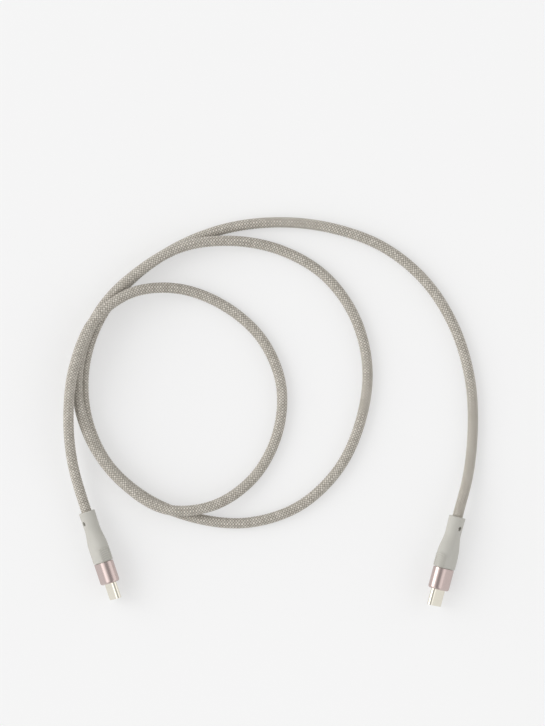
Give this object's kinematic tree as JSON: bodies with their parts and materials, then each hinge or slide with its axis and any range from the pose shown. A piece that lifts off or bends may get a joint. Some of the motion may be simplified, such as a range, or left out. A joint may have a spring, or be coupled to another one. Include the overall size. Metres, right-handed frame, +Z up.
{
  "type": "charging cable",
  "caption": "Braided charging cable with a small oval plug at each end, each with a ribbed boot and a metal collar, laid down in loose loops.",
  "frame": {"origin": "on the table, under the middle of the box round the two plugs", "axes": "+X from the left plug to the right plug, +Y from the plugs to the loops of the cable, +Z up from the table"},
  "size_m": [0.1652, 0.1557, 0.0141],
  "materials": {
    "braid": "matt woven yarn in two tones of grey-beige",
    "jacket": "matt extruded elastomer",
    "boot": "fine matt moulded elastomer, light grey",
    "collar": "satin anodised, pale mauve",
    "crimp_ring": "plain drawn brass",
    "inner_mould": "off-white moulded polyethylene",
    "sheet_steel": "pressed stainless sheet",
    "plug_shell": "smooth drawn stainless steel",
    "contact_housing": "black glass-filled nylon",
    "gold_contact": "gold plated spring alloy",
    "circuit_board": "green solder mask",
    "capacitor": "brown ceramic",
    "red_insulation": "red insulation",
    "black_insulation": "black insulation",
    "blue_insulation": "blue insulation",
    "white_insulation": "white insulation"
  },
  "bodies": {
    "cable": {"braided_sleeve": "braid", "cable_jacket": "jacket", "boot_1": "boot", "collar_1": "collar", "crimp_ring_1": "crimp_ring", "inner_mould_1": "inner_mould", "upper_shield_can_1": "sheet_steel", "lower_shield_can_1": "sheet_steel", "plug_shell_1": "plug_shell", "contact_housing_1": "contact_housing", "upper_contacts_1": "gold_contact", "lower_contacts_1": "gold_contact", "upper_ground_spring_1": "sheet_steel", "lower_ground_spring_1": "sheet_steel", "circuit_board_1": "circuit_board", "capacitor_1": "capacitor", "power_wire_1": "red_insulation", "ground_wire_1": "black_insulation", "control_wire_1": "blue_insulation", "data_wires_1": "white_insulation", "boot_2": "boot", "collar_2": "collar", "crimp_ring_2": "crimp_ring", "inner_mould_2": "inner_mould", "upper_shield_can_2": "sheet_steel", "lower_shield_can_2": "sheet_steel", "plug_shell_2": "plug_shell", "contact_housing_2": "contact_housing", "upper_contacts_2": "gold_contact", "lower_contacts_2": "gold_contact", "upper_ground_spring_2": "sheet_steel", "lower_ground_spring_2": "sheet_steel", "circuit_board_2": "circuit_board", "capacitor_2": "capacitor", "power_wire_2": "red_insulation", "ground_wire_2": "black_insulation", "control_wire_2": "blue_insulation", "data_wires_2": "white_insulation"},
    "first_latch_1": {"first_latch_1": "sheet_steel"},
    "second_latch_1": {"second_latch_1": "sheet_steel"},
    "first_latch_2": {"first_latch_2": "sheet_steel"},
    "second_latch_2": {"second_latch_2": "sheet_steel"}
  },
  "joints": [
    {"name": "first_latch_1_flex", "type": "hinge", "parent": "cable", "child": "first_latch_1", "pos_m": [-0.06318, -0.00907, 0.0084], "axis": [-0.849, -0.283, 0.4462], "range_deg": [0, 2.5], "stiffness_Nm_per_rad": 0.02},
    {"name": "second_latch_1_flex", "type": "hinge", "parent": "cable", "child": "second_latch_1", "pos_m": [-0.06611, -0.01005, 0.00219], "axis": [0.849, 0.283, -0.4462], "range_deg": [0, 2.5], "stiffness_Nm_per_rad": 0.02},
    {"name": "first_latch_2_flex", "type": "hinge", "parent": "cable", "child": "first_latch_2", "pos_m": [0.06427, -0.01156, 0.00793], "axis": [-0.7818, 0.208, -0.5878], "range_deg": [0, 2.5], "stiffness_Nm_per_rad": 0.02},
    {"name": "second_latch_2_flex", "type": "hinge", "parent": "cable", "child": "second_latch_2", "pos_m": [0.06822, -0.01261, 0.00232], "axis": [0.7818, -0.208, 0.5878], "range_deg": [0, 2.5], "stiffness_Nm_per_rad": 0.02}
  ]
}
